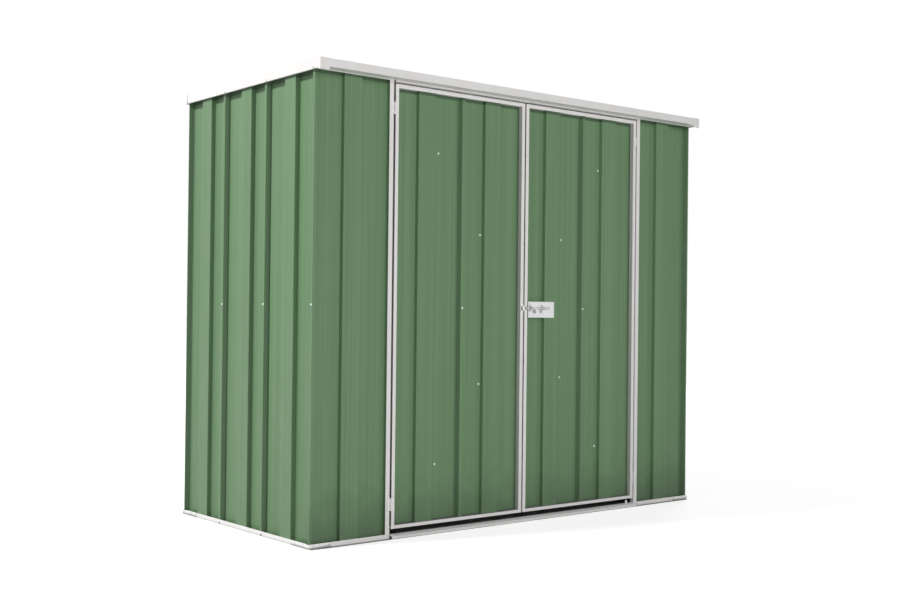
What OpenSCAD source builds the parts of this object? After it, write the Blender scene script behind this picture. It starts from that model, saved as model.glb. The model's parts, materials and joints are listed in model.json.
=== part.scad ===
// Metal garden shed with a near-flat roof, ribbed steel sheets in folded channels,
// a pair of outward-opening doors and a pad bolt. Millimetres, +Z up, front towards -Y.

/* [Walls] */
// width over the ribs of the two side walls
wall_w = 2160; // [1800:1:2600]
// depth over the ribs of the front and back walls
wall_d = 1063; // [800:1:1500]
// height of the front wall to the top of its rail
wall_h = 1863; // [1600:1:2200]
// drop of the roof from the front wall to the back wall
roof_fall = 7; // [2:0.5:20]
// width of a front panel, from the corner to the door side of its post
panel_w = 372; // [320:1:420]

/* [Sheets] */
// thickness of the wall, door and roof sheets
sheet_t = 0.5; // [0.4:0.05:0.8]
// width that one sheet covers
cover = 353; // [330:1:380]
// height of the ribs over the pans
rib_h = 19.5; // [14:0.5:24]
// flat top of a lap rib
lap_crown = 14; // [10:0.5:20]
// sideways run of a lap rib's flank
lap_run = 10; // [8:0.5:18]
// start of the wide middle rib, from the start of the lap rib
mid_at = 125; // [110:1:140]
// flat top of the wide middle rib
mid_crown = 84; // [60:1:110]
// sideways run of the middle rib's flanks
mid_run = 3; // [2:0.5:8]
// outside radius of the folds
fold_r = 2.5; // [1:0.25:4]
// flat strip at the end of a row of sheets
end_crown = 8; // [6:0.5:12]
// flat strip at the back corner of the side walls
corner_crown = 3; // [3:0.5:12]

/* [Channels] */
// thickness of the frame channels and trims
chan_t = 0.9; // [0.7:0.05:1.5]
// height of the channels at the foot of the walls
chan_h = 19; // [14:0.5:30]
// how far the foot channels flare out below their upper edge
foot_flare = 2; // [1:0.25:4]
// height of the rails' flanges at the top of the walls
top_lip = 13; // [10:0.5:16]
// height of the header over the doors
header_h = 16.5; // [14:0.5:24]
// face width of the door posts
post_face = 21; // [16:0.5:30]
// height of the door sill
sill_h = 18; // [14:0.5:30]
// height of the sill's front edge, below its slope
sill_lip = 11.5; // [6:0.5:13]
// how far the sill stands out from the wall
sill_nose = 20; // [8:0.5:30]
// how far the sill reaches in behind the doors' faces
sill_back = 8; // [4:0.5:20]
// height of the small stop on the sill
stop_h = 14; // [8:0.5:15]
// width of this stop
stop_w = 12; // [8:0.5:20]
// height of the rails half way up the walls
mid_rail_z = 940; // [700:1:1200]
// face height of these rails
mid_rail_h = 30; // [20:1:50]
// depth of these rails
mid_rail_d = 12; // [8:1:25]
// leg of a foot bracket along the front or back
bracket_front = 96; // [60:1:150]
// leg of a foot bracket along the side
bracket_side = 130; // [60:1:200]
// thickness of a foot bracket
bracket_t = 1.5; // [1:0.1:3]

/* [Roof trim] */
// roof overhang at the front
front_over = 56; // [40:1:90]
// roof overhang at the back
back_over = 20; // [12:1:50]
// roof overhang at each side
side_over = 10; // [6:0.5:30]
// height of the front fascia's face
fascia_h = 32; // [28:0.5:34]
// height of the side barges
barge_h = 38; // [30:0.5:50]
// width of the trims' top flange
trim_flange = 20; // [12:1:30]
// face width of the fascia's corner caps
cap_w = 42; // [30:1:60]
// height of these caps
cap_h = 45; // [40:0.5:60]

/* [Doors] */
// gap between a post and its door
hinge_gap = 7; // [6:0.25:9]
// gap between the two doors
meet_gap = 7; // [6:0.25:12]
// gap between the sill and the doors
foot_gap = 21; // [20:0.5:30]
// gap between the doors and the header
head_gap = 7; // [6:0.25:12]
// face width of the door stiles
stile_face = 17; // [14:0.5:25]
// face height of the door rails
rail_face = 16; // [12:0.5:25]
// width of the flat braces
brace_w = 30; // [20:1:45]
// length of a hinge
hinge_len = 50; // [40:1:80]
// distance from a door's end to the middle of the nearer hinge
hinge_inset = 100; // [70:1:200]
// thickness of the hinge leaves
leaf_t = 1.2; // [1:0.1:1.6]
// width of a hinge leaf on its post or stile
leaf_face = 13; // [10:0.5:15]
// hinge pin diameter
pin_d = 3; // [2.5:0.25:4]

/* [Pad bolt] */
// height of the bolt
bolt_z = 937; // [800:1:1100]
// diameter of the bolt rod
rod_d = 10; // [8:0.5:12]
// length of the bolt rod
rod_len = 140; // [130:1:180]
// travel of the bolt
bolt_travel = 30; // [26:0.5:34]
// width of the lock plate
plate_w = 156; // [150:1:200]
// height of the lock plate
plate_h = 71; // [50:1:100]
// thickness of the lock plate at its middle
plate_t = 3; // [2:0.25:5]
// width of the plate's sloping border
plate_edge = 7; // [4:0.5:12]
// thickness of the straps
strap_t = 1.5; // [1:0.1:2.5]
// height of the opening in the keeper
keeper_open = 17; // [13:0.5:22]
// width of a strap along the bolt
strap_w = 12; // [8:0.5:14]
// diameter of the bolt's lug and of the padlock eye
lug_d = 14; // [12:0.5:18]
// diameter of the hole in them
lug_hole = 6; // [5:0.5:7]
// drop from the bolt to the middle of the lug
lug_drop = 15; // [14:0.5:20]

/* [Hidden] */
$fn = 32;

fit = 0.3;
sheet_d = rib_h + sheet_t;
chan_in = sheet_d + 2 * fit;
chan_out = chan_in + 2 * chan_t;
face = -fit - chan_t;
inner = face + chan_out;
foot_out = face - foot_flare;
tilt = atan(roof_fall / wall_d);
back_h = wall_h - roof_fall;
cap_t = 1.2;
wall_y = (front_over + fit + cap_t - wall_d - back_over) / 2;

lap_a = atan(rib_h / lap_run);
nest = sheet_t + fit;
nest_in = nest * tan(lap_a / 2);
lap_leg = 6;

header_z = wall_h - header_h;
door_top = header_z - head_gap;
door_foot = sill_h + foot_gap;
door_h = door_top - door_foot;
leaf_w = (wall_w - 2 * panel_w - 2 * hinge_gap - meet_gap) / 2;
left_leaf = panel_w + hinge_gap;
right_leaf = left_leaf + leaf_w + meet_gap;

roof_z = wall_h + fit;
trim_top = roof_z + sheet_d + fit + chan_t;

knuckle_r = hinge_gap / 2 - 0.4;
hinge_proud = knuckle_r + fit;
pin_y = face - hinge_proud;

plate_x = right_leaf + stile_face + 4;
plate_y = -fit - plate_t;
rod_y = plate_y - 0.7 - rod_d / 2;
rod_x = right_leaf + 2.5;
lug_t = 3;
lug_clear = 5.5;
lug_y = plate_y - lug_clear - lug_d / 2;
eye_x = plate_x + 26.5;
lug_x = eye_x + lug_t + lug_clear + bolt_travel;
strap_clear = 0.6;

// helpers for folded sheet metal: a path is the outside line of the fold
function unit(v) = v / norm(v);
function side_of(a, b) = let (u = unit(b - a)) [-u[1], u[0]];
function before(p, i) = side_of(p[max(i - 1, 0)], p[max(i, 1)]);
function after(p, i) = side_of(p[min(i, len(p) - 2)], p[min(i + 1, len(p) - 1)]);
function moved(p, d) = [for (i = [0:len(p) - 1])
    p[i] + d * (before(p, i) + after(p, i)) / (1 + before(p, i) * after(p, i))];
function turned(p) = [for (i = [len(p) - 1:-1:0]) p[i]];
function fold(a, b, c, r) = let (
    u = unit(a - b), v = unit(c - b), h = acos(u * v) / 2, w = unit(u + v), k = r / tan(h))
    [b + u * k, b + w * (r / sin(h) - r), b + v * k];
function folded(p, r) = concat([p[0]],
    [for (i = [1:len(p) - 2]) each fold(p[i - 1], p[i], p[i + 1], r)],
    [p[len(p) - 1]]);

module strip(path, t, length) {
    linear_extrude(length)
        polygon(concat(path, turned(moved(path, t))));
}

module corner_frame() {
    translate([-wall_w / 2, wall_y, 0])
        children();
}

module other_side() {
    translate([wall_w, 0, 0])
        mirror([1, 0, 0])
            children();
}

module along_x(from) {
    translate([from, 0, 0])
        rotate([90, 0, 90])
            children();
}

module along_y(to) {
    translate([0, to, 0])
        rotate([90, 0, 0])
            children();
}

module roof_tilt() {
    translate([0, 0, wall_h])
        rotate([-tilt, 0, 0])
            translate([0, 0, -wall_h])
                children();
}

// rows of ribbed sheets: along +X, ribs towards -Y, up +Z
function row_count(total, first) =
    max(1, floor(1 + (total - first - mid_at - mid_crown - end_crown - lap_run - 13) / cover));
function head(o, k, from, in_pan, start) = k == 0
    ? (in_pan ? [[from, rib_h]]
    : [[from, 0], [max(o - 2, from + start), 0], [max(o - 2, from + start) + lap_run, rib_h]])
    : [[o - lap_run * 0.9, rib_h * 0.9], [o, 0], [o + lap_crown, 0],
       [o + lap_crown + lap_run, rib_h]];
function middle(o) = [[o + mid_at - mid_run, rib_h], [o + mid_at, 0],
    [o + mid_at + mid_crown, 0], [o + mid_at + mid_crown + mid_run, rib_h]];
function tail(o, last, to, in_pan, end) = !last
    ? [[o + cover - lap_run + nest / sin(lap_a), rib_h], [o + cover + nest_in, nest],
       [o + cover + lap_crown - nest_in, nest],
       [o + cover + lap_crown - nest_in + lap_leg / tan(lap_a), nest + lap_leg]]
    : in_pan ? [[to, rib_h]]
    : [[to - end - lap_run, rib_h], [to - end, 0], [to, 0]];

module sheet_row(from, to, first, height, in_pan = false, start = end_crown, end = end_crown) {
    n = row_count(to, first);
    for (k = [0:n - 1]) {
        o = first + k * cover;
        line = concat(head(o, k, from, in_pan, start), middle(o),
                      tail(o, k == n - 1, to, in_pan, end));
        strip(folded(line, fold_r), sheet_t, height);
    }
}

// channel that takes a sheet's edge, open towards +Y of its own section
module channel(depth, length) {
    strip([[face, depth], [face, 0], [inner, 0], [inner, depth]], chan_t, length);
}

// front or back rail at the top: its inner flange stops short of the side walls
module wall_channel(depth, length, cut_from, cut_to) {
    strip([[face, depth], [face, 0], [inner, 0]], chan_t, length);
    translate([0, 0, cut_from])
        strip([[inner - 5, 0], [inner, 0], [inner, depth]], chan_t, length - cut_from - cut_to);
}

// foot channel with a flared outer flange
module foot_channel(length, cut_from, cut_to) {
    out = face - foot_flare;
    strip([[face, chan_h], [out, chan_h / 2], [out, 0], [inner, 0]], chan_t, length);
    translate([0, 0, cut_from])
        strip([[inner - 5, 0], [inner, 0], [inner, chan_h]], chan_t, length - cut_from - cut_to);
}

module left_wall_shape() {
    translate([0, 0, chan_t + fit])
        mirror([1, -1, 0])
            sheet_row(0, wall_d, 17, back_h - 2 * chan_t - 3 * fit, end = corner_crown);
}

module left_wall() {
    color("darkseagreen")
        corner_frame()
            left_wall_shape();
}

module right_wall() {
    color("darkseagreen")
        corner_frame()
            other_side()
                left_wall_shape();
}

module back_wall() {
    color("darkseagreen")
        corner_frame()
            translate([0, wall_d, chan_t + fit])
                mirror([0, 1, 0])
                    sheet_row(nest, wall_w - nest, 17, back_h - 2 * chan_t - 2 * fit,
                              start = sheet_d, end = sheet_d);
}

module front_left_panel() {
    color("darkseagreen")
        corner_frame()
            translate([0, 0, chan_t + fit])
                sheet_row(nest, panel_w - chan_t - fit, 12, wall_h - 2 * chan_t - 2 * fit);
}

module front_right_panel() {
    color("darkseagreen")
        corner_frame()
            translate([wall_w - panel_w, 0, chan_t + fit])
                sheet_row(chan_t + fit, panel_w - nest, 14, wall_h - 2 * chan_t - 2 * fit);
}

module roof_sheets() {
    reach = side_over - chan_t - fit;
    color("darkseagreen")
        corner_frame()
            roof_tilt()
                translate([0, chan_t + fit - front_over, roof_z + sheet_d])
                    rotate([-90, 0, 0])
                        sheet_row(-reach, wall_w + reach, 17, wall_d + front_over + back_over - chan_t - fit);
}

module base_left() {
    color("gainsboro")
        corner_frame()
            along_y(wall_d - inner - fit)
                foot_channel(wall_d - 2 * inner - 2 * fit, 0, 0);
}

module base_right() {
    color("gainsboro")
        corner_frame()
            other_side()
                along_y(wall_d - inner - fit)
                    foot_channel(wall_d - 2 * inner - 2 * fit, 0, 0);
}

module base_back() {
    color("gainsboro")
        corner_frame()
            translate([0, wall_d, 0])
                mirror([0, 1, 0])
                    along_x(foot_out)
                        foot_channel(wall_w - 2 * foot_out, inner - foot_out, inner - foot_out);
}

module base_front_shape() {
    along_x(foot_out)
        foot_channel(panel_w - post_face - fit - foot_out, inner - foot_out, 0);
}

module base_front() {
    color("gainsboro")
        corner_frame() {
            base_front_shape();
            other_side()
                base_front_shape();
        }
}

module door_sill() {
    color("gainsboro")
        corner_frame()
            along_x(panel_w + fit)
                strip([[sill_back, 0], [sill_back, sill_h], [0, sill_h], [-sill_nose, sill_lip],
                       [-sill_nose, 0]], chan_t, wall_w - 2 * panel_w - 2 * fit);
}

// small upright stop on the sill, under the right door near its hinges
module sill_stop() {
    foot = sill_h + fit;
    color("gainsboro")
        corner_frame()
            along_x(right_leaf + leaf_w - stile_face - 18 - stop_w)
                strip([[0.5, foot + stop_h], [0.5, foot], [sill_back - 0.5, foot]], chan_t, stop_w);
}

module bracket() {
    out = foot_out - fit - bracket_t;
    strip([[bracket_front, out], [out, out], [out, bracket_side]], -bracket_t, chan_h - 1);
}

module base_brackets() {
    color("silver")
        corner_frame() {
            bracket();
            other_side()
                bracket();
            translate([0, wall_d, 0])
                mirror([0, 1, 0])
                    bracket();
            translate([0, wall_d, 0])
                mirror([0, 1, 0])
                    other_side()
                        bracket();
        }
}

module top_rail_left_shape() {
    roof_tilt()
        along_y(wall_d - inner - fit - chan_t)
            translate([0, wall_h, 0])
                mirror([0, 1, 0])
                    channel(top_lip, wall_d - 2 * inner - 2 * fit - 2 * chan_t);
}

module top_rail_left() {
    color("gainsboro")
        corner_frame()
            top_rail_left_shape();
}

module top_rail_right() {
    color("gainsboro")
        corner_frame()
            other_side()
                top_rail_left_shape();
}

module top_rail_back() {
    color("gainsboro")
        corner_frame()
            translate([0, wall_d, back_h])
                mirror([0, 1, 0])
                    mirror([0, 0, 1])
                        along_x(face)
                            wall_channel(top_lip, wall_w - 2 * face, inner - face, inner - face);
}

module top_rail_front_shape() {
    translate([0, 0, wall_h])
        mirror([0, 0, 1])
            along_x(face)
                wall_channel(top_lip, panel_w - post_face - fit - face, inner - face, 0);
}

module top_rail_front() {
    color("gainsboro")
        corner_frame() {
            top_rail_front_shape();
            other_side()
                top_rail_front_shape();
        }
}

module door_header() {
    color("gainsboro")
        corner_frame()
            translate([0, 0, wall_h])
                mirror([0, 0, 1])
                    along_x(panel_w + fit)
                        channel(header_h, wall_w - 2 * panel_w - 2 * fit);
}

module mid_rail(length) {
    strip([[sheet_d + fit + mid_rail_d, 0], [sheet_d + fit, 0], [sheet_d + fit, mid_rail_h],
           [sheet_d + fit + mid_rail_d, mid_rail_h]], -chan_t, length);
}

module mid_rail_left_shape() {
    gap = inner + fit;
    translate([0, 0, mid_rail_z - mid_rail_h / 2])
        along_y(wall_d - gap)
            mid_rail(wall_d - 2 * gap);
}

module mid_rail_left() {
    color("lightgray")
        corner_frame()
            mid_rail_left_shape();
}

module mid_rail_right() {
    color("lightgray")
        corner_frame()
            other_side()
                mid_rail_left_shape();
}

module mid_rail_back() {
    ends = sheet_d + 2 * fit + mid_rail_d;
    color("lightgray")
        corner_frame()
            translate([0, wall_d, mid_rail_z - mid_rail_h / 2])
                mirror([0, 1, 0])
                    along_x(ends)
                        mid_rail(wall_w - 2 * ends);
}

module left_post_shape() {
    translate([panel_w, 0, 0])
        rotate([0, 0, 90])
            channel(post_face, wall_h);
}

module left_post() {
    color("gainsboro")
        corner_frame()
            left_post_shape();
}

module right_post() {
    color("gainsboro")
        corner_frame()
            other_side()
                left_post_shape();
}

module front_fascia() {
    out = -front_over;
    color("gainsboro")
        corner_frame()
            roof_tilt()
                along_x(-side_over + chan_t + fit)
                    strip([[out + trim_flange, trim_top], [out, trim_top], [out, trim_top - fascia_h],
                           [face - fit, trim_top - fascia_h]], chan_t,
                          wall_w + 2 * side_over - 2 * chan_t - 2 * fit);
}

module left_barge_shape() {
    out = -side_over;
    start = -front_over;
    roof_tilt()
        along_y(wall_d + back_over) {
            strip([[out, trim_top - barge_h], [out, trim_top]], -chan_t, wall_d + back_over - start);
            strip([[out, trim_top], [out + trim_flange, trim_top]], -chan_t,
                  wall_d + back_over - start - trim_flange - fit);
            translate([0, 0, back_over + fit])
                strip([[face - fit, trim_top - barge_h], [out, trim_top - barge_h],
                       [out, trim_top - barge_h + 5]], -chan_t, wall_d - fit);
        }
}

module left_barge() {
    color("white")
        corner_frame()
            left_barge_shape();
}

module right_barge() {
    color("white")
        corner_frame()
            other_side()
                left_barge_shape();
}

module back_eave() {
    out = wall_d + back_over - 6;
    color("gainsboro")
        corner_frame()
            roof_tilt()
                along_x(-side_over + chan_t + fit)
                    strip([[wall_d - face + fit, wall_h], [out, wall_h], [out, wall_h - 18],
                           [out - 6, wall_h - 18]], -chan_t,
                          wall_w + 2 * side_over - 2 * chan_t - 2 * fit);
}

module cap() {
    x = -side_over - fit - cap_t;
    y = -front_over - fit - cap_t;
    translate([0, 0, trim_top + 1 - cap_h])
        strip([[x + cap_w, y], [x, y], [x, y + 14]], -cap_t, cap_h);
}

module fascia_caps() {
    color("gainsboro")
        corner_frame() {
            cap();
            other_side()
                cap();
        }
}

// hinge knuckles: five along the pin, the odd ones on the post
module knuckle(i, r) {
    step = hinge_len / 5;
    translate([0, 0, -hinge_len / 2 + i * step + 0.2])
        cylinder(h = step - 0.4, r = r);
}

// tongue from a leaf to its knuckle, tangent to the knuckle's back
module knuckle_tongue(i) {
    step = hinge_len / 5;
    translate([0, knuckle_r - leaf_t, -hinge_len / 2 + i * step + 0.2])
        cube([knuckle_r + 1, leaf_t, step - 0.4]);
}

module hinge_plate() {
    translate([knuckle_r + 0.5, knuckle_r - leaf_t, -hinge_len / 2])
        cube([leaf_face, leaf_t, hinge_len]);
}

module post_leaf() {
    union() {
        mirror([1, 0, 0]) {
            hinge_plate();
            for (i = [0, 2, 4])
                knuckle_tongue(i);
        }
        for (i = [0, 2, 4])
            knuckle(i, knuckle_r);
        translate([0, 0, -hinge_len / 2 + 0.2])
            cylinder(h = hinge_len - 0.4, d = pin_d);
    }
}

module door_leaf() {
    difference() {
        union() {
            hinge_plate();
            for (i = [1, 3]) {
                knuckle(i, knuckle_r);
                knuckle_tongue(i);
            }
        }
        translate([0, 0, -hinge_len])
            cylinder(h = 2 * hinge_len, d = pin_d + 0.6);
    }
}

module at_hinges() {
    for (z = [door_foot + hinge_inset, door_top - hinge_inset])
        translate([panel_w + hinge_gap / 2, pin_y, z])
            children();
}

module post_hinges() {
    color("silver")
        corner_frame() {
            at_hinges()
                post_leaf();
            other_side()
                at_hinges()
                    post_leaf();
        }
}

// door pieces, drawn from the leaf's own lower left corner
module at_leaf(x) {
    translate([x, 0, door_foot])
        children();
}

module leaf_sheets() {
    gap = stile_face + fit;
    translate([0, 0, rail_face + fit])
        sheet_row(gap, leaf_w - gap, -4, door_h - 2 * rail_face - 2 * fit, true);
}

// stiles and rails turn their webs to the sheets and are open at the leaf's edge
module left_stile() {
    translate([stile_face, 0, 0])
        rotate([0, 0, 90])
            channel(stile_face, door_h);
}

module right_stile() {
    translate([leaf_w - stile_face, 0, 0])
        mirror([1, 0, 0])
            rotate([0, 0, 90])
                channel(stile_face, door_h);
}

module leaf_rails() {
    gap = stile_face + fit;
    along_x(gap) {
        translate([0, rail_face, 0])
            mirror([0, 1, 0])
                channel(rail_face, leaf_w - 2 * gap);
        translate([0, door_h - rail_face, 0])
            channel(rail_face, leaf_w - 2 * gap);
    }
}

// flat brace between two points of the leaf's back, given as x and z
module brace(a, b, y) {
    run = b - a;
    translate([a[0], y + chan_t, a[1]])
        rotate([90, 0, 0])
            rotate([0, 0, atan2(run[1], run[0])])
                translate([0, -brace_w / 2, 0])
                    cube([norm(run), brace_w, chan_t]);
}

// cross rail at mid height and two diagonals from its lock end to the hinge corners:
// rise is how far they start above and below the cross rail, foot how far they end from the hinge edge
module leaf_braces(rise, foot) {
    gap = stile_face + fit;
    mid = bolt_z - door_foot - 2;
    back = inner + fit;
    brace([gap, mid], [leaf_w - gap, mid], sheet_d + fit);
    brace([leaf_w - 28, mid + rise], [foot, door_h - 22], back);
    brace([leaf_w - 28, mid - rise], [foot, 22], back);
}

module flipped_leaf() {
    translate([leaf_w, 0, 0])
        mirror([1, 0, 0])
            children();
}

module left_door_sheets() {
    color("darkseagreen")
        corner_frame()
            at_leaf(left_leaf)
                leaf_sheets();
}

module left_door_hinge_stile() {
    color("gainsboro")
        corner_frame()
            at_leaf(left_leaf)
                left_stile();
}

module left_door_lock_stile() {
    color("gainsboro")
        corner_frame()
            at_leaf(left_leaf)
                right_stile();
}

module left_door_rails() {
    color("gainsboro")
        corner_frame()
            at_leaf(left_leaf)
                leaf_rails();
}

module left_door_braces() {
    color("lightgray")
        corner_frame()
            at_leaf(left_leaf)
                leaf_braces(14, 44);
}

module left_door_hinges() {
    color("silver")
        corner_frame()
            at_hinges()
                door_leaf();
}

module right_door_sheets() {
    color("darkseagreen")
        corner_frame()
            at_leaf(right_leaf)
                leaf_sheets();
}

module right_door_hinge_stile() {
    color("gainsboro")
        corner_frame()
            at_leaf(right_leaf)
                right_stile();
}

module right_door_lock_stile() {
    color("gainsboro")
        corner_frame()
            at_leaf(right_leaf)
                left_stile();
}

module right_door_rails() {
    color("gainsboro")
        corner_frame()
            at_leaf(right_leaf)
                leaf_rails();
}

module right_door_braces() {
    color("lightgray")
        corner_frame()
            at_leaf(right_leaf)
                flipped_leaf()
                    leaf_braces(45, 80);
}

module right_door_hinges() {
    color("silver")
        corner_frame()
            other_side()
                at_hinges()
                    door_leaf();
}

// strap over the bolt rod, standing on the face at y, with an opening of the given height
module strap(x, y, open, foot) {
    half = open / 2;
    top = rod_y - rod_d / 2 - strap_clear;
    along_x(x)
        strip([[y, bolt_z - half - foot], [y, bolt_z - half], [top, bolt_z - half],
               [top, bolt_z + half], [y, bolt_z + half], [y, bolt_z + half + foot]],
              strap_t, strap_w);
}

// plate with a sloping border above, below and at its free end
module lock_plate() {
    rim = 1;
    color("whitesmoke")
        corner_frame()
            translate([plate_x, -fit, bolt_z - 6 - plate_h / 2])
                intersection() {
                    along_x(0)
                        linear_extrude(plate_w)
                            polygon([[0, 0], [0, plate_h], [-rim, plate_h],
                                     [-plate_t, plate_h - plate_edge], [-plate_t, plate_edge], [-rim, 0]]);
                    linear_extrude(plate_h)
                        polygon([[0, 0], [plate_w, 0], [plate_w, -rim],
                                 [plate_w - plate_edge, -plate_t], [0, -plate_t]]);
                }
}

module bolt_straps() {
    open = rod_d + 2 * strap_clear;
    color("silver")
        corner_frame() {
            strap(plate_x + 4, plate_y - fit, open, 10);
            strap(lug_x + lug_t + lug_clear, plate_y - fit, open, 10);
        }
}

// round tab with a hole for the padlock, across the bolt's way
module lug_tab() {
    difference() {
        union() {
            children();
            translate([0, lug_y, bolt_z - lug_drop])
                rotate([0, 90, 0])
                    cylinder(h = lug_t, d = lug_d);
        }
        translate([-1, lug_y, bolt_z - lug_drop])
            rotate([0, 90, 0])
                cylinder(h = lug_t + 2, d = lug_hole);
    }
}

module padlock_eye() {
    color("silver")
        corner_frame()
            translate([eye_x, 0, 0])
                lug_tab()
                    translate([0, lug_y, bolt_z - lug_drop - lug_d / 2])
                        cube([lug_t, plate_y - fit - lug_y, lug_d]);
}

// bolt rod with a lug that comes up to the padlock eye when the bolt is shot
module lock_bolt() {
    color("silver")
        corner_frame()
            union() {
                translate([rod_x, rod_y, bolt_z])
                    rotate([0, 90, 0])
                        cylinder(h = rod_len, d = rod_d);
                translate([lug_x, 0, 0])
                    lug_tab()
                        translate([0, rod_y - rod_d, bolt_z - lug_drop])
                            cube([lug_t, rod_d, lug_drop]);
            }
}

module bolt_keeper() {
    color("silver")
        corner_frame()
            strap(left_leaf + leaf_w - stile_face / 2 - strap_w / 2, face - fit, keeper_open, 10);
}

left_wall();
right_wall();
back_wall();
front_left_panel();
front_right_panel();
roof_sheets();
base_left();
base_right();
base_back();
base_front();
door_sill();
sill_stop();
base_brackets();
top_rail_left();
top_rail_right();
top_rail_back();
top_rail_front();
door_header();
mid_rail_left();
mid_rail_right();
mid_rail_back();
left_post();
right_post();
front_fascia();
left_barge();
right_barge();
back_eave();
fascia_caps();
post_hinges();
left_door_sheets();
left_door_hinge_stile();
left_door_lock_stile();
left_door_rails();
left_door_braces();
left_door_hinges();
bolt_keeper();
right_door_sheets();
right_door_hinge_stile();
right_door_lock_stile();
right_door_rails();
right_door_braces();
right_door_hinges();
lock_plate();
padlock_eye();
bolt_straps();
lock_bolt();
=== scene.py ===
"""Metal garden shed: finishes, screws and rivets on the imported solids."""

import json
import math

import bpy
from mathutils import Matrix, Vector


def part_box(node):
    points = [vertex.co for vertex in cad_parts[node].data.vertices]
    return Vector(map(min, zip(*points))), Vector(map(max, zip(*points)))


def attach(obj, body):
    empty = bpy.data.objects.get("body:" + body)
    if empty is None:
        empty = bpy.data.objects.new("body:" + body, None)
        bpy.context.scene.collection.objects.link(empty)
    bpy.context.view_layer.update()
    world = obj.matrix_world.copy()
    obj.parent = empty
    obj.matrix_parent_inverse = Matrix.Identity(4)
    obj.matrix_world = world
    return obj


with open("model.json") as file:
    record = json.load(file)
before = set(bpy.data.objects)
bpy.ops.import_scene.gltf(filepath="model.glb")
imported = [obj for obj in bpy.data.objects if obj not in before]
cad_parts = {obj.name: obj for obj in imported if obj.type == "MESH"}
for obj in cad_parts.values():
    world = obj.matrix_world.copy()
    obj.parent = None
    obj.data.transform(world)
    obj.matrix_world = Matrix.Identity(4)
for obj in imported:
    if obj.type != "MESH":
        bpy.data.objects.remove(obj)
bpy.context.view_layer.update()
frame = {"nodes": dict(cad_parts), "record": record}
nodes = frame["nodes"]
bpy.ops.object.select_all(action="DESELECT")

# The shed's places are given in millimetres from the front left corner of its walls:
# across to the right, back from the doors, and up from the ground.
CORNER = Vector((-1.080, -0.51275, 0))
WALL_WIDTH = 2160
WALL_DEPTH = 1063
ROOF_FALL = 7 / WALL_DEPTH
SHEET_COVER = 353
SHEET_PAN = 19.5
SHEET_FOOT = 18.5
RAIL_FACE = 16

TO_LEFT, TO_RIGHT = Vector((-1, 0, 0)), Vector((1, 0, 0))
TO_FRONT, TO_BACK = Vector((0, -1, 0)), Vector((0, 1, 0))


def place(across, back, up):
    return CORNER + Vector((across, back, up)) / 1000


# Finishes


def add(tree, kind, **values):
    made = tree.nodes.new(kind)
    for key, value in values.items():
        setattr(made, key, value)
    return made


def feed(tree, socket, value):
    """Links a socket to another one, or sets its value."""
    if hasattr(value, "is_linked"):
        tree.links.new(value, socket)
    else:
        socket.default_value = value


def calculate(tree, operation, first, second=0):
    made = add(tree, "ShaderNodeMath", operation=operation)
    feed(tree, made.inputs[0], first)
    feed(tree, made.inputs[1], second)
    return made.outputs[0]


def times(tree, first, *others):
    for other in others:
        first = calculate(tree, "MULTIPLY", first, other)
    return first


def spread(tree, value, from_low, from_high, to_low, to_high, smooth=False):
    made = add(tree, "ShaderNodeMapRange")
    if smooth:
        made.interpolation_type = "SMOOTHSTEP"
    for socket, setting in zip(made.inputs, (value, from_low, from_high, to_low, to_high)):
        feed(tree, socket, setting)
    return made.outputs[0]


def either(tree, choice, first, second):
    """The first number where the choice is none, the second where it is one."""
    made = add(tree, "ShaderNodeMix", data_type="FLOAT")
    for socket, value in zip((0, 2, 3), (choice, first, second)):
        feed(tree, made.inputs[socket], value)
    return made.outputs[0]


def mix_colours(tree, kind, factor, first, second):
    made = add(tree, "ShaderNodeMix", data_type="RGBA", blend_type=kind)
    for socket, value in zip((0, 6, 7), (factor, first, second)):
        feed(tree, made.inputs[socket], value)
    return made.outputs[2]


def on_piece(tree):
    return add(tree, "ShaderNodeTexCoord").outputs["Object"]


def spot_on_piece(tree):
    """A point's place on the piece, in metres: across, back and up."""
    made = add(tree, "ShaderNodeSeparateXYZ")
    tree.links.new(on_piece(tree), made.inputs[0])
    return made.outputs


def noise(tree, where, scale, detail):
    made = add(tree, "ShaderNodeTexNoise")
    feed(tree, made.inputs["Vector"], where)
    feed(tree, made.inputs["Scale"], scale)
    feed(tree, made.inputs["Detail"], detail)
    return made.outputs[0]


def patches(tree, scale, detail, low, high):
    """Uneven patches between two values."""
    return spread(tree, noise(tree, on_piece(tree), scale, detail), 0.3, 0.7, low, high)


def between(tree, value, low, high):
    """One from low to high, none elsewhere."""
    return times(tree, calculate(tree, "GREATER_THAN", value, low), calculate(tree, "LESS_THAN", value, high))


def at_laps(tree, along, first, width, low, high):
    """A strip that comes back at every lap of the sheets from low to high."""
    made = add(tree, "ShaderNodeMath", operation="WRAP")
    feed(tree, made.inputs[0], calculate(tree, "SUBTRACT", along, first))
    made.inputs[1].default_value = SHEET_COVER / 1000
    made.inputs[2].default_value = 0
    return times(tree, calculate(tree, "LESS_THAN", made.outputs[0], width), between(tree, along, low, high))


def strongest(tree, *masks):
    """The highest of several masks, each with its own amount."""
    total = 0
    for mask, amount in masks:
        total = calculate(tree, "MAXIMUM", total, times(tree, mask, amount))
    return total


def start_group(name, inputs, output):
    """An effect that several finishes use, with numbers as inputs and one number as output."""
    group = bpy.data.node_groups.new(name, "ShaderNodeTree")
    for label, default in inputs:
        socket = group.interface.new_socket(label, in_out="INPUT", socket_type="NodeSocketFloat")
        socket.default_value = default
    group.interface.new_socket(output, in_out="OUTPUT", socket_type="NodeSocketFloat")
    entry = add(group, "NodeGroupInput")
    leave = add(group, "NodeGroupOutput")
    return group, entry.outputs, leave.inputs[0]


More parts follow.
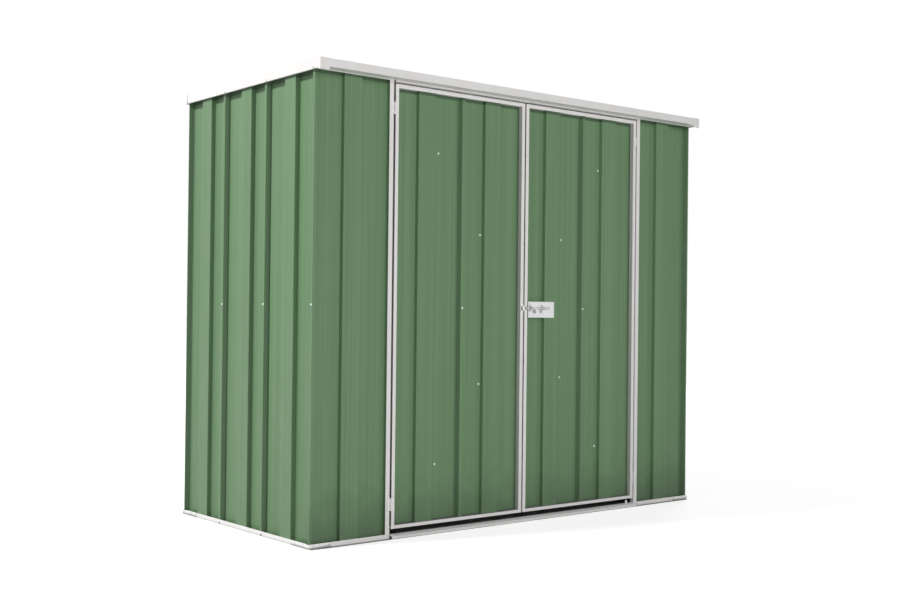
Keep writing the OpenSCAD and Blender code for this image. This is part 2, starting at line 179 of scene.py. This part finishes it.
def make_streaks():
    inputs = (("Across", 60), ("Along", 0.4), ("Amount", 0.04))
    group, given, shade = start_group("rolled_streaks", inputs, "Shade")
    stretch = add(group, "ShaderNodeCombineXYZ")
    for axis, label in zip("XYZ", ("Across", "Across", "Along")):
        group.links.new(given[label], stretch.inputs[axis])
    scaled = add(group, "ShaderNodeVectorMath", operation="MULTIPLY")
    group.links.new(on_piece(group), scaled.inputs[0])
    group.links.new(stretch.outputs[0], scaled.inputs[1])
    centred = spread(group, noise(group, scaled.outputs[0], 1, 3), 0.3, 0.7, -1, 1)
    group.links.new(calculate(group, "ADD", times(group, centred, given["Amount"]), 1), shade)
    return group


# Darker towards the ground: a mask that fades out with height, over a reach that changes in patches
def make_foot_darkening():
    group, given, mask = start_group("darker_near_ground", (("Height", 0.15), ("Amount", 0.5)), "Mask")
    across, back, height = spot_on_piece(group)
    reach = times(group, given["Height"], patches(group, 14, 4, 0.7, 1.3))
    fade = spread(group, calculate(group, "DIVIDE", height, reach), 0, 1, 1, 0, smooth=True)
    group.links.new(times(group, fade, given["Amount"]), mask)
    return group


def make_relief():
    group, given, height = start_group("sheet_relief", (("Wave", 0.5), ("Grain", 0.1)), "Height")
    flattened = add(group, "ShaderNodeMapping")
    flattened.inputs["Scale"].default_value = (5, 5, 1.6)
    group.links.new(on_piece(group), flattened.inputs["Vector"])
    wave = times(group, noise(group, flattened.outputs[0], 1, 2), given["Wave"])
    grain = times(group, noise(group, on_piece(group), 420, 2), given["Grain"])
    group.links.new(calculate(group, "ADD", wave, grain), height)
    return group


def make_sheen():
    group, given, rough = start_group("uneven_sheen", (("Low", 0.35), ("High", 0.55)), "Roughness")
    group.links.new(patches(group, 9, 5, given["Low"], given["High"]), rough)
    return group


# Where painted shade goes, in metres in the shed's own frame
SIDE_WALLS = 1.058
FRONT_WALL = -0.4915
DOORWAY = 0.7
DOOR_RAIL_FOOT = 1.8095
DOOR_TOP = 1.83
ROOF_UNDERSIDE = 1.8535
OVER_ALL = 1.9
LOCK_WEB, HINGE_WEB = 0.0205, 0.6840
# Widths of the narrow dark and the wider soft painted shade beside the stile webs
DEEP_SHADE, SHADE = 0.0075, 0.0155
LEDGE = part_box("left_door_rails")[0][2] + RAIL_FACE / 1000


def make_painted_shade():
    """Painted shade at the laps of the sheets, beside the door stiles, and under the trims and door rails."""
    group, given, mask = start_group("sheet_painted_shade", (("Amount", 1),), "Mask")
    across, back, height = spot_on_piece(group)
    off_middle = calculate(group, "ABSOLUTE", across)
    front_wall = calculate(group, "LESS_THAN", back, FRONT_WALL)
    in_doorway = calculate(group, "LESS_THAN", off_middle, DOORWAY)
    under_roof = calculate(group, "ADD", height, times(group, back, ROOF_FALL))
    # Painted shade on the side walls: laps, back corner, end of the front wall, under the barge
    sides = strongest(
        group,
        (at_laps(group, back, first=-0.1570, width=0.0150, low=-0.4, high=0.45), 0.3),
        (at_laps(group, back, first=-0.1575, width=0.0065, low=-0.4, high=0.45), 0.65),
        (between(group, back, 0.5275, 0.5475), 0.4),
        (times(group, front_wall, between(group, across, SIDE_WALLS, 1.0735)), 0.4),
        (between(group, under_roof, 1.8315, OVER_ALL), 0.55))
    # Painted shade on the front wall: laps, under the door rails, right end, beside the stiles, under the fascia
    doors = strongest(
        group,
        (at_laps(group, across, first=-0.7250, width=0.0080, low=-0.6, high=0.6), 0.2),
        (at_laps(group, across, first=-0.7170, width=0.0115, low=-0.6, high=0.6), 0.35),
        (times(group, between(group, height, DOOR_RAIL_FOOT, DOOR_TOP), in_doorway), 0.6),
        (between(group, across, 1.046, 1.059), 0.2),
        (between(group, off_middle, LOCK_WEB, LOCK_WEB + SHADE), 0.22),
        (between(group, off_middle, LOCK_WEB, LOCK_WEB + DEEP_SHADE), 0.65),
        (between(group, off_middle, HINGE_WEB - SHADE, HINGE_WEB), 0.22),
        (between(group, off_middle, HINGE_WEB - DEEP_SHADE, HINGE_WEB), 0.65),
        (between(group, height, 1.8400, OVER_ALL), 0.5))
    # Painted shade on the back wall: laps, under the eave
    rear = strongest(
        group,
        (at_laps(group, across, first=-0.7215, width=0.0125, low=-0.8, high=0.8), 0.3),
        (between(group, height, 1.8250, OVER_ALL), 0.4))
    front_or_rear = either(group, calculate(group, "LESS_THAN", back, 0), rear, doors)
    on_wall = either(group, calculate(group, "GREATER_THAN", off_middle, SIDE_WALLS), front_or_rear, sides)
    below_roof = calculate(group, "LESS_THAN", height, ROOF_UNDERSIDE)
    group.links.new(times(group, on_wall, given["Amount"], below_roof), mask)
    return group


STREAKS, FOOT_DARKENING, RELIEF, SHEEN = make_streaks(), make_foot_darkening(), make_relief(), make_sheen()
PAINTED_SHADE = make_painted_shade()


def effect(tree, group, **values):
    made = add(tree, "ShaderNodeGroup", node_tree=group)
    for label, value in values.items():
        made.inputs[label].default_value = value
    return made.outputs[0]


def start_finish(name):
    material = bpy.data.materials.new(name)
    material.use_nodes = True
    tree = material.node_tree
    return material, tree, tree.nodes["Principled BSDF"]


def end_finish(tree, shader, colour, roughness, relief, depth):
    tree.links.new(colour, shader.inputs["Base Color"])
    tree.links.new(roughness, shader.inputs["Roughness"])
    bump = add(tree, "ShaderNodeBump")
    bump.inputs["Strength"].default_value = 0.6
    bump.inputs["Distance"].default_value = depth
    tree.links.new(relief, bump.inputs["Height"])
    tree.links.new(bump.outputs[0], shader.inputs["Normal"])


def one_tint_each(tree):
    """A slightly different shade on each rolled sheet, from lap to lap."""
    steps = (
        ("MAXIMUM", (-0.95, -0.40, 0)),
        ("MINIMUM", (0.95, 0.50, 0)),
        ("ADD", (0.710, 0.143, 0)),
        ("SNAP", (SHEET_COVER / 1000, SHEET_COVER / 1000, 1)))
    where = on_piece(tree)
    for operation, amount in steps:
        step = add(tree, "ShaderNodeVectorMath", operation=operation)
        step.inputs[1].default_value = amount
        tree.links.new(where, step.inputs[0])
        where = step.outputs[0]
    tint = add(tree, "ShaderNodeTexWhiteNoise")
    tree.links.new(where, tint.inputs["Vector"])
    return spread(tree, tint.outputs["Value"], 0, 1, 0.975, 1.025)


GREEN, FOOT_SHADE_GREEN, PAINTED_SHADE_GREEN = (0.146, 0.253, 0.132, 1), (0.072, 0.110, 0.064, 1), (0.014, 0.030, 0.015, 1)
TRIM, DARK_FOOT_TRIM, PAINTED_SHADE_TRIM = (0.86, 0.838, 0.828, 1), (0.15, 0.14, 0.125, 1), (0.03, 0.03, 0.03, 1)
DARK_FOOT_ZINC = (0.07, 0.065, 0.06, 1)


def green_coat():
    material, tree, shader = start_finish("green_sheet_coat")
    shader.inputs["Specular IOR Level"].default_value = 0.3
    fine = effect(tree, STREAKS, Across=75, Along=0.35, Amount=0.10)
    broad = effect(tree, STREAKS, Across=12, Along=0.2, Amount=0.04)
    colour = mix_colours(tree, "MULTIPLY", 1, GREEN, times(tree, fine, broad, one_tint_each(tree)))
    across, back, height = spot_on_piece(tree)
    # Painted shade: darker towards the ground, at full strength on the front wall and faint elsewhere
    by_the_doors = spread(tree, back, -0.49, -0.42, 1, 0.12)
    darker_foot = times(tree, effect(tree, FOOT_DARKENING, Height=0.26, Amount=0.6), by_the_doors)
    colour = mix_colours(tree, "MIX", darker_foot, colour, FOOT_SHADE_GREEN)
    # Painted shade at the laps, beside the stiles and under the trims and door rails
    colour = mix_colours(tree, "MIX", effect(tree, PAINTED_SHADE, Amount=1), colour, PAINTED_SHADE_GREEN)
    end_finish(tree, shader, colour, effect(tree, SHEEN, Low=0.38, High=0.52),
               effect(tree, RELIEF, Wave=0.4, Grain=0.03), 0.004)
    return material


def trim_painted_shade(tree):
    """Painted shade in the left hinge gap, at the barges' back joint, on the stiles' webs and on the bottom
    rails.
    """
    across, back, height = spot_on_piece(tree)
    off_middle = calculate(tree, "ABSOLUTE", across)
    hinge_gap = times(tree, between(tree, across, -0.7095, -0.6995), between(tree, back, -0.5142, -0.45),
                      calculate(tree, "GREATER_THAN", height, 0.05))
    barge_joint = times(tree, calculate(tree, "GREATER_THAN", off_middle, 1.085),
                        between(tree, back, 0.5475, 0.5545))
    at_web = calculate(tree, "MAXIMUM", between(tree, off_middle, LOCK_WEB - 0.0005, LOCK_WEB + 0.0005),
                       between(tree, off_middle, HINGE_WEB - 0.0005, HINGE_WEB + 0.0005))
    stile_webs = times(tree, at_web, between(tree, back, -0.5130, -0.45))
    rail_ledge = times(tree, between(tree, height, LEDGE - 0.003, LEDGE + 0.0005),
                       between(tree, off_middle, LOCK_WEB + 0.0001, HINGE_WEB - 0.0001),
                       between(tree, back, -0.5145, -0.48))
    return strongest(tree, (hinge_gap, 0.85), (barge_joint, 0.6), (stile_webs, 0.28), (rail_ledge, 0.85))


def white_coat(name, base, dark_foot_height):
    material, tree, shader = start_finish(name)
    shade = times(tree, patches(tree, 6, 4, 0.975, 1.015),
                  effect(tree, STREAKS, Across=26, Along=0.9, Amount=0.012))
    colour = mix_colours(tree, "MULTIPLY", 1, base, shade)
    # Darker towards the ground, at the foot of each piece
    darker_foot = effect(tree, FOOT_DARKENING, Height=dark_foot_height, Amount=0.75)
    colour = mix_colours(tree, "MIX", darker_foot, colour, DARK_FOOT_TRIM)
    # Painted shade in the hinge gap, at the barge joint, on the stile webs and on the bottom rails' ledge
    colour = mix_colours(tree, "MIX", trim_painted_shade(tree), colour, PAINTED_SHADE_TRIM)
    end_finish(tree, shader, colour, effect(tree, SHEEN, Low=0.32, High=0.46),
               effect(tree, RELIEF, Wave=0.5, Grain=0.04), 0.002)
    return material


def zinc_coat(name, base, metallic, low, high):
    material, tree, shader = start_finish(name)
    shader.inputs["Metallic"].default_value = metallic
    spangle = add(tree, "ShaderNodeTexVoronoi")
    spangle.inputs["Scale"].default_value = 95
    tree.links.new(on_piece(tree), spangle.inputs["Vector"])
    flower = add(tree, "ShaderNodeSeparateColor")
    tree.links.new(spangle.outputs["Color"], flower.inputs[0])
    shade = times(tree, spread(tree, flower.outputs[0], 0, 1, 0.86, 1.08), patches(tree, 30, 4, 0.93, 1.04))
    colour = mix_colours(tree, "MULTIPLY", 1, base, shade)
    # Darker towards the ground, at the foot of each piece
    darker_foot = effect(tree, FOOT_DARKENING, Height=0.014, Amount=0.8)
    colour = mix_colours(tree, "MIX", darker_foot, colour, DARK_FOOT_ZINC)
    end_finish(tree, shader, colour, spread(tree, flower.outputs[1], 0, 1, low, high),
               effect(tree, RELIEF, Wave=0.2, Grain=0.08), 0.001)
    return material


green = green_coat()
white = white_coat("white_trim_coat", TRIM, 0.004)
plate_white = white_coat("lock_plate_coat", (0.93, 0.93, 0.93, 1), 0.010)
zinc = zinc_coat("zinc_steel", (0.62, 0.625, 0.63, 1), 0.65, 0.5, 0.68)
# Zinc painted darker for the bolt's straps and eye, standing in for the shadows among them
shaded_bolt_zinc = zinc_coat("bolt_zinc_painted_darker", (0.47, 0.47, 0.475, 1), 0.65, 0.4, 0.55)
bright_zinc = zinc_coat("bright_screw_zinc", (0.95, 0.95, 0.94, 1), 0.1, 0.28, 0.42)

finish = {"sheet_green": green, "trim_white": white, "zinc_steel": zinc}
own_finish = {"lock_plate": plate_white, "bolt_keeper": bright_zinc, "base_brackets": bright_zinc,
              "bolt_straps": shaded_bolt_zinc, "padlock_eye": shaded_bolt_zinc}
for piece in frame["record"]["subparts"]:
    coats = nodes[piece["node"]].data.materials
    coats.clear()
    coats.append(own_finish.get(piece["node"], finish[piece["material_slot"]]))

# Screws and rivets


def top_face_only(piece):
    """Leaves only the highest flat face selected."""
    bpy.ops.mesh.select_all(action="DESELECT")
    bpy.ops.object.mode_set(mode="OBJECT")
    highest = max(piece.data.polygons, key=lambda face: face.center.z)
    highest.select = True
    bpy.ops.object.mode_set(mode="EDIT")


def start_head(name, radius, thickness, sides):
    bpy.ops.object.select_all(action="DESELECT")
    bpy.ops.mesh.primitive_cylinder_add(vertices=sides, radius=radius, depth=thickness,
                                        location=(0, 0, thickness / 2))
    head = bpy.context.object
    head.name = name
    bpy.ops.object.transform_apply(location=True)
    bpy.ops.object.mode_set(mode="EDIT")
    bpy.context.tool_settings.mesh_select_mode = (False, False, True)
    top_face_only(head)
    return head


def step_in(width):
    bpy.ops.mesh.inset(thickness=width)


def step_up(height, narrowing=1):
    bpy.ops.mesh.extrude_region_move(TRANSFORM_OT_translate={"value": (0, 0, height)})
    bpy.ops.transform.resize(value=(narrowing, narrowing, 1))


def end_head(head):
    bpy.ops.mesh.select_all(action="SELECT")
    bpy.ops.mesh.normals_make_consistent(inside=False)
    bpy.ops.object.mode_set(mode="OBJECT")
    bpy.ops.object.shade_smooth_by_angle(angle=math.radians(40))
    head.data.materials.append(bright_zinc)
    return head


def pan_head_screw():
    """Washer, pan head with a round shoulder, and a recess for the driver."""
    head = start_head("screw_pattern", radius=0.0048, thickness=0.0009, sides=12)
    step_in(0.0013)
    step_up(0.0011)
    step_up(0.0008, 0.72)
    step_in(0.0010)
    step_up(-0.0008, 0.8)
    return end_head(head)


def pop_rivet():
    """Low round head with the hollow that its drawn pin leaves."""
    head = start_head("rivet_pattern", radius=0.0031, thickness=0.0005, sides=10)
    step_up(0.0006, 0.68)
    step_in(0.0010)
    step_up(-0.0005, 0.8)
    return end_head(head)


def fasten(name, body, pattern, spots, coat=None):
    """Copies of one fastener, each on its surface and facing out of it, as one piece on a body."""
    copies = []
    for spot, out in spots:
        copy = pattern.copy()
        copy.data = pattern.data.copy()
        bpy.context.scene.collection.objects.link(copy)
        turn = out.to_track_quat("Z", "Y").to_matrix().to_4x4()
        copy.data.transform(Matrix.Translation(place(*spot)) @ turn)
        copies.append(copy)
    bpy.ops.object.select_all(action="DESELECT")
    for copy in copies:
        copy.select_set(True)
    bpy.context.view_layer.objects.active = copies[0]
    bpy.ops.object.join()
    copies[0].name = name
    if coat:
        copies[0].data.materials[0] = coat
    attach(copies[0], body)


screw, rivet = pan_head_screw(), pop_rivet()

# Faces that carry them: back from the walls' front, so a face that stands proud has a minus
BARGE_FACE = -10
CHANNEL_FACE = -1.2
FOOT_FACE = -3.2
BRACKET_FACE = -5.0
LEAF_FACE = -2.7
PLATE_FACE = -3.3
STRAP_FOOT_FACE = -5.1
KEEPER_FACE = -3.0

BARGE_HEIGHT = 1851.5
MID_RAIL_HEIGHT = 940
BRACKET_HEIGHT = 9
FOOT_HEIGHT = 5.8
ROOF_CROWN_HEIGHT = 1883.3
HINGE_HEIGHTS = (139, 1739.5)
BOLT_HEIGHT = 937
CORNER_CROWN = 8
LAP_CROWNS = [377 + SHEET_COVER * i for i in range(5)]
POST_MIDDLE = 361
POST_LEAF, DOOR_LEAF = 365, 386


def from_both_ends(across):
    return (across, WALL_WIDTH - across)


def on_right_side(spots):
    return [((WALL_WIDTH - across, back, up), TO_RIGHT) for (across, back, up), out in spots]


barge_spots = [((BARGE_FACE, back, BARGE_HEIGHT - back * ROOF_FALL), TO_LEFT) for back in (-4, 352, 706, 1055)]
barge_spots += [((FOOT_FACE, back, FOOT_HEIGHT), TO_LEFT) for back in (365, 723)]
side_spots = [((0, back, MID_RAIL_HEIGHT), TO_LEFT) for back in (CORNER_CROWN, 377, 730)]
side_spots += [((BRACKET_FACE, back, BRACKET_HEIGHT), TO_LEFT) for back in (62, WALL_DEPTH - 62)]
fasten("left_trim_screws", "shed", screw, barge_spots, zinc)
fasten("right_trim_screws", "shed", screw, on_right_side(barge_spots), zinc)
fasten("left_side_screws", "shed", screw, side_spots)
fasten("right_side_screws", "shed", screw, on_right_side(side_spots))

back_spots = [((across, WALL_DEPTH, MID_RAIL_HEIGHT), TO_BACK)
              for across in [CORNER_CROWN] + LAP_CROWNS + [WALL_WIDTH - CORNER_CROWN]]
back_spots += [((across, WALL_DEPTH - FOOT_FACE, FOOT_HEIGHT), TO_BACK) for across in LAP_CROWNS]
back_spots += [((across, WALL_DEPTH - BRACKET_FACE, BRACKET_HEIGHT), TO_BACK) for across in from_both_ends(72)]
fasten("back_screws", "shed", screw, back_spots)

front_spots = [((across, BRACKET_FACE, BRACKET_HEIGHT), TO_FRONT) for across in from_both_ends(86)]
front_spots += [((across, CHANNEL_FACE, up), TO_FRONT)
                for across in from_both_ends(POST_MIDDLE) for up in (30, 1836)]
fasten("front_screws", "shed", screw, front_spots)

roof_out = Vector((0, ROOF_FALL, 1)).normalized()
fasten("roof_screws", "shed", screw,
       [((across, back, ROOF_CROWN_HEIGHT - back * ROOF_FALL), roof_out)
        for across in LAP_CROWNS for back in (-28, 525, 1062)])

left_door_spots = ((614, SHEET_PAN, 1578.5), (843, SHEET_PAN, 1249), (735, 0, 934.5), (843, SHEET_PAN, 609),
                   (611, SHEET_PAN, 282.5))
right_door_spots = ((1547, SHEET_PAN, 1582.5), (1318, SHEET_PAN, 1249), (1439.5, 0, 936.5),
                    (1315, SHEET_PAN, 626.5), (1541.5, SHEET_PAN, 299.5))
fasten("left_door_screws", "left_door", screw, [(spot, TO_FRONT) for spot in left_door_spots])
fasten("right_door_screws", "right_door", screw, [(spot, TO_FRONT) for spot in right_door_spots])

hinge_rows = [height + step for height in HINGE_HEIGHTS for step in (-15, 15)]
fasten("post_hinge_rivets", "shed", rivet,
       [((across, LEAF_FACE, up), TO_FRONT) for across in from_both_ends(POST_LEAF) for up in hinge_rows])
fasten("left_hinge_rivets", "left_door", rivet, [((DOOR_LEAF, LEAF_FACE, up), TO_FRONT) for up in hinge_rows])
fasten("right_hinge_rivets", "right_door", rivet,
       [((WALL_WIDTH - DOOR_LEAF, LEAF_FACE, up), TO_FRONT) for up in hinge_rows])

plate_middle = BOLT_HEIGHT - 6
plate_spots = [((across, PLATE_FACE, plate_middle + step), TO_FRONT)
               for across in (1205, 1246) for step in (-24, 24)]
plate_spots += [((across, STRAP_FOOT_FACE, BOLT_HEIGHT + step), TO_FRONT)
                for across in (1114.5, 1184) for step in (-11.2, 11.2)]
fasten("lock_plate_rivets", "right_door", rivet, plate_spots)
fasten("bolt_keeper_rivets", "left_door", rivet,
       [((1068, KEEPER_FACE, BOLT_HEIGHT + step), TO_FRONT) for step in (-13.8, 13.8)])
for pattern in (screw, rivet):
    bpy.data.objects.remove(pattern)

# Stage, lights and camera


def shown_or_mirrored(tree):
    """One for what the camera, a gloss or glass sees, none for the light on the object."""
    path = add(tree, "ShaderNodeLightPath")
    first = calculate(tree, "MAXIMUM", path.outputs["Is Camera Ray"], path.outputs["Is Glossy Ray"])
    return calculate(tree, "MAXIMUM", first, path.outputs["Is Transmission Ray"])


def pale_floor():
    """Pale floor that shows white round the shed and keeps its shadow."""
    bpy.ops.object.select_all(action="DESELECT")
    bpy.ops.mesh.primitive_plane_add(size=80, location=(0, 0, -0.0005))
    floor = bpy.context.object
    floor.name = "studio_floor"
    material, tree, shader = start_finish("pale_floor")
    shader.inputs["Base Color"].default_value = (0.45, 0.45, 0.45, 1)
    shader.inputs["Roughness"].default_value = 1
    shader.inputs["Specular IOR Level"].default_value = 0
    shader.inputs["Emission Color"].default_value = (1, 1, 1, 1)
    across, back, height = spot_on_piece(tree)
    beside = calculate(tree, "GREATER_THAN", calculate(tree, "ABSOLUTE", across), WALL_WIDTH / 2000)
    beyond = calculate(tree, "GREATER_THAN", calculate(tree, "ABSOLUTE", back), WALL_DEPTH / 2000)
    outside = calculate(tree, "MAXIMUM", beside, beyond)
    far = add(tree, "ShaderNodeVectorMath", operation="LENGTH")
    tree.links.new(on_piece(tree), far.inputs[0])
    level = spread(tree, far.outputs["Value"], 2, 6, 0.75, 1)
    tree.links.new(times(tree, outside, shown_or_mirrored(tree), level), shader.inputs["Emission Strength"])
    floor.data.materials.append(material)


def studio_walls(level):
    """Even light from all round, shown as a white background."""
    world = bpy.data.worlds.new("studio")
    bpy.context.scene.world = world
    world.use_nodes = True
    tree = world.node_tree
    walls = tree.nodes["Background"]
    walls.inputs["Color"].default_value = (1, 1, 1, 1)
    strength = spread(tree, shown_or_mirrored(tree), 0, 1, level, 1)
    tree.links.new(strength, walls.inputs["Strength"])


def soft_box(name, location, target, size, power):
    lamp = bpy.data.lights.new(name, "AREA")
    lamp.shape = "DISK"
    lamp.size = size
    lamp.energy = power
    made = bpy.data.objects.new(name, lamp)
    bpy.context.scene.collection.objects.link(made)
    made.location = location
    made.rotation_euler = (Vector(target) - Vector(location)).to_track_quat("-Z", "Y").to_euler()
    made.visible_camera = False


pale_floor()
studio_walls(level=0.22)
soft_box("left_soft_box", (-8.7, 2.0, 8.7), target=(-1, 0, 0.95), size=1.6, power=1230)
soft_box("front_soft_box", (-1.1, -8.35, 4.2), target=(0, -0.5, 1.0), size=1.8, power=147)
soft_box("right_soft_box", (8, 4.5, 3.5), target=(1, 0.3, 0.9), size=4, power=420)
soft_box("low_soft_box", (-0.8, -4.2, 0.15), target=(0, -0.5, 1.6), size=3, power=78)

# The camera was fitted to the photograph's edges; pixels are those of a picture 900 wide and 600 high.
PICTURE_WIDTH, PICTURE_HEIGHT = 900, 600
YAW, PITCH, ROLL = (math.radians(angle) for angle in (49.38156, 0.46714, 0.61328))
FOCAL_PIXELS = 1240.3017
MIDDLE_PIXELS = (510.9, 301.2)
CAMERA_STAND = (-2522, -4113, 904 + SHEET_FOOT)
ahead = Vector((math.cos(PITCH) * math.cos(YAW), math.cos(PITCH) * math.sin(YAW), math.sin(PITCH)))
level_right = Vector((math.sin(YAW), -math.cos(YAW), 0))
level_up = level_right.cross(ahead)
right = math.cos(ROLL) * level_right + math.sin(ROLL) * level_up
up = -math.sin(ROLL) * level_right + math.cos(ROLL) * level_up
lens = bpy.data.cameras.new("photo_camera")
lens.sensor_width = 36
lens.lens = FOCAL_PIXELS / PICTURE_WIDTH * lens.sensor_width
lens.shift_x = (PICTURE_WIDTH / 2 - MIDDLE_PIXELS[0]) / PICTURE_WIDTH
lens.shift_y = (MIDDLE_PIXELS[1] - PICTURE_HEIGHT / 2) / PICTURE_WIDTH
camera = bpy.data.objects.new("photo_camera", lens)
bpy.context.scene.collection.objects.link(camera)
turned = Matrix((right, up, -ahead)).transposed().to_4x4()
camera.matrix_world = Matrix.Translation(place(*CAMERA_STAND)) @ turned
bpy.context.scene.camera = camera
bpy.context.scene.view_settings.view_transform = "Standard"
